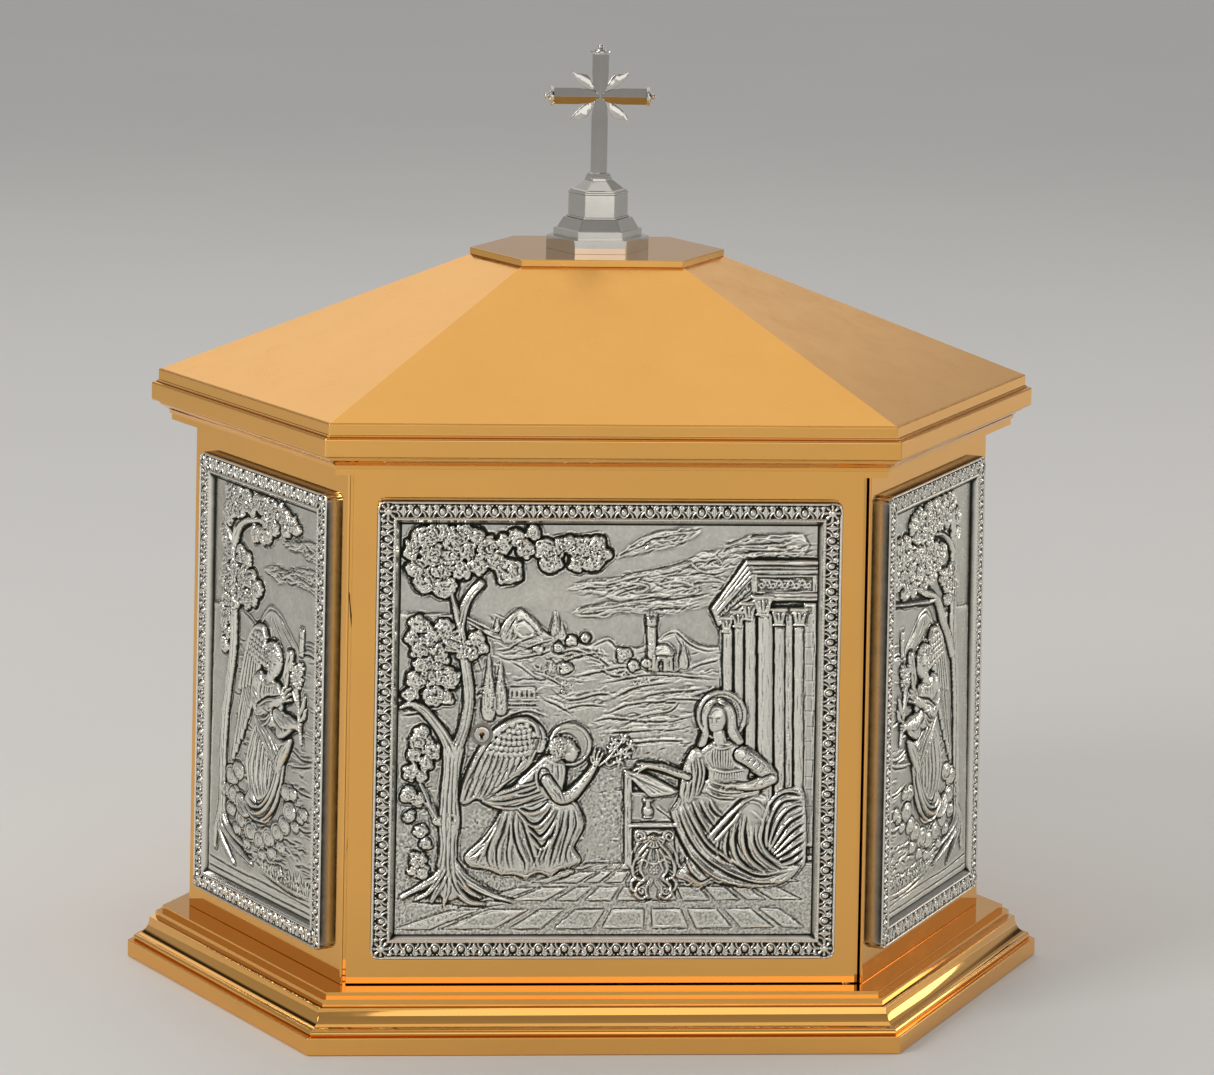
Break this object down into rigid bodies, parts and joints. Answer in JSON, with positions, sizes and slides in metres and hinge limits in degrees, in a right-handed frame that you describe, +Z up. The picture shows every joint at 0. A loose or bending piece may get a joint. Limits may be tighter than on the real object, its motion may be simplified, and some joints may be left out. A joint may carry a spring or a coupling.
{
  "type": "tabernacle",
  "caption": "Hexagonal altar tabernacle with polished gold case, relief door on pivot hinges, rack lock, relief side panels, moulded base, stepped cornice, pyramid roof and cross.",
  "frame": {"origin": "centre of the underside of the base plinth", "axes": "+Z up, -Y out of the front face that holds the door, +X to the viewer's right when facing the door"},
  "size_m": [0.4796, 0.3252, 0.4816],
  "materials": {
    "polished_gold": "mirror-polished gold plate on brass sheet",
    "relief_silver": "antique silver relief, dark patina in the recesses",
    "border_silver": "silver border, darkened between the ornaments",
    "bright_silver": "polished silver",
    "steel": "plain bright steel",
    "brass": "plain machined brass"
  },
  "bodies": {
    "case": {"base_plinth": "polished_gold", "base_cove_moulding": "polished_gold", "base_cap_moulding": "polished_gold", "floor_plate": "polished_gold", "floor_screws": "steel", "body_shell": "polished_gold", "door_stop_frame": "polished_gold", "strike_plate": "steel", "strike_screws": "steel", "hinge_pin_lower": "steel", "hinge_pin_upper": "steel", "hinge_washer": "brass", "cornice_soffit_ring": "polished_gold", "cornice_bed_moulding": "polished_gold", "eave_lower_fascia": "polished_gold", "eave_upper_fascia": "polished_gold", "ceiling_plate": "polished_gold", "ceiling_screws": "steel", "roof_shell": "polished_gold", "roof_top_plate": "polished_gold", "pedestal_base": "bright_silver", "pedestal_die": "bright_silver", "pedestal_cap": "bright_silver", "tie_rod": "steel", "tie_rod_washer": "steel", "tie_rod_nut": "steel", "cross_foot": "bright_silver", "cross_body": "bright_silver", "cross_rays": "bright_silver", "cross_finials": "bright_silver", "left_relief_frame": "border_silver", "left_relief_plaque": "relief_silver", "right_relief_frame": "border_silver", "right_relief_plaque": "relief_silver", "side_panel_studs": "brass", "side_panel_nuts": "brass"},
    "door": {"door_pan": "polished_gold", "door_back_plate": "polished_gold", "back_plate_screws": "steel", "door_relief_frame": "border_silver", "door_relief_plaque": "relief_silver", "door_panel_studs": "brass", "door_panel_nuts": "brass", "hinge_bush_lower": "brass", "hinge_bush_upper": "brass", "keyhole_escutcheon": "bright_silver", "lock_sleeve": "brass", "lock_case": "steel", "lock_cover": "steel", "lock_screws": "steel"},
    "lock_cylinder": {"lock_barrel": "brass", "lock_pinion": "steel"},
    "bolt": {"lock_bolt": "steel"}
  },
  "joints": [
    {"name": "door_hinge", "type": "hinge", "parent": "case", "child": "door", "pos_m": [0.1222, -0.1319, 0.1544], "axis": [0, 0, 1], "range_deg": [0, 110]},
    {"name": "lock_turn", "type": "hinge", "parent": "door", "child": "lock_cylinder", "pos_m": [-0.062, -0.1351, 0.152], "axis": [0, 1, 0], "range_deg": [0, 180]},
    {"name": "bolt_slide", "type": "slide", "parent": "door", "child": "bolt", "axis": [-1, 0, 0], "range_m": [0, 0.01414]}
  ],
  "couplings": [
    {"joint": "lock_turn", "follows": "bolt_slide", "rad_per_m": 222.22}
  ]
}
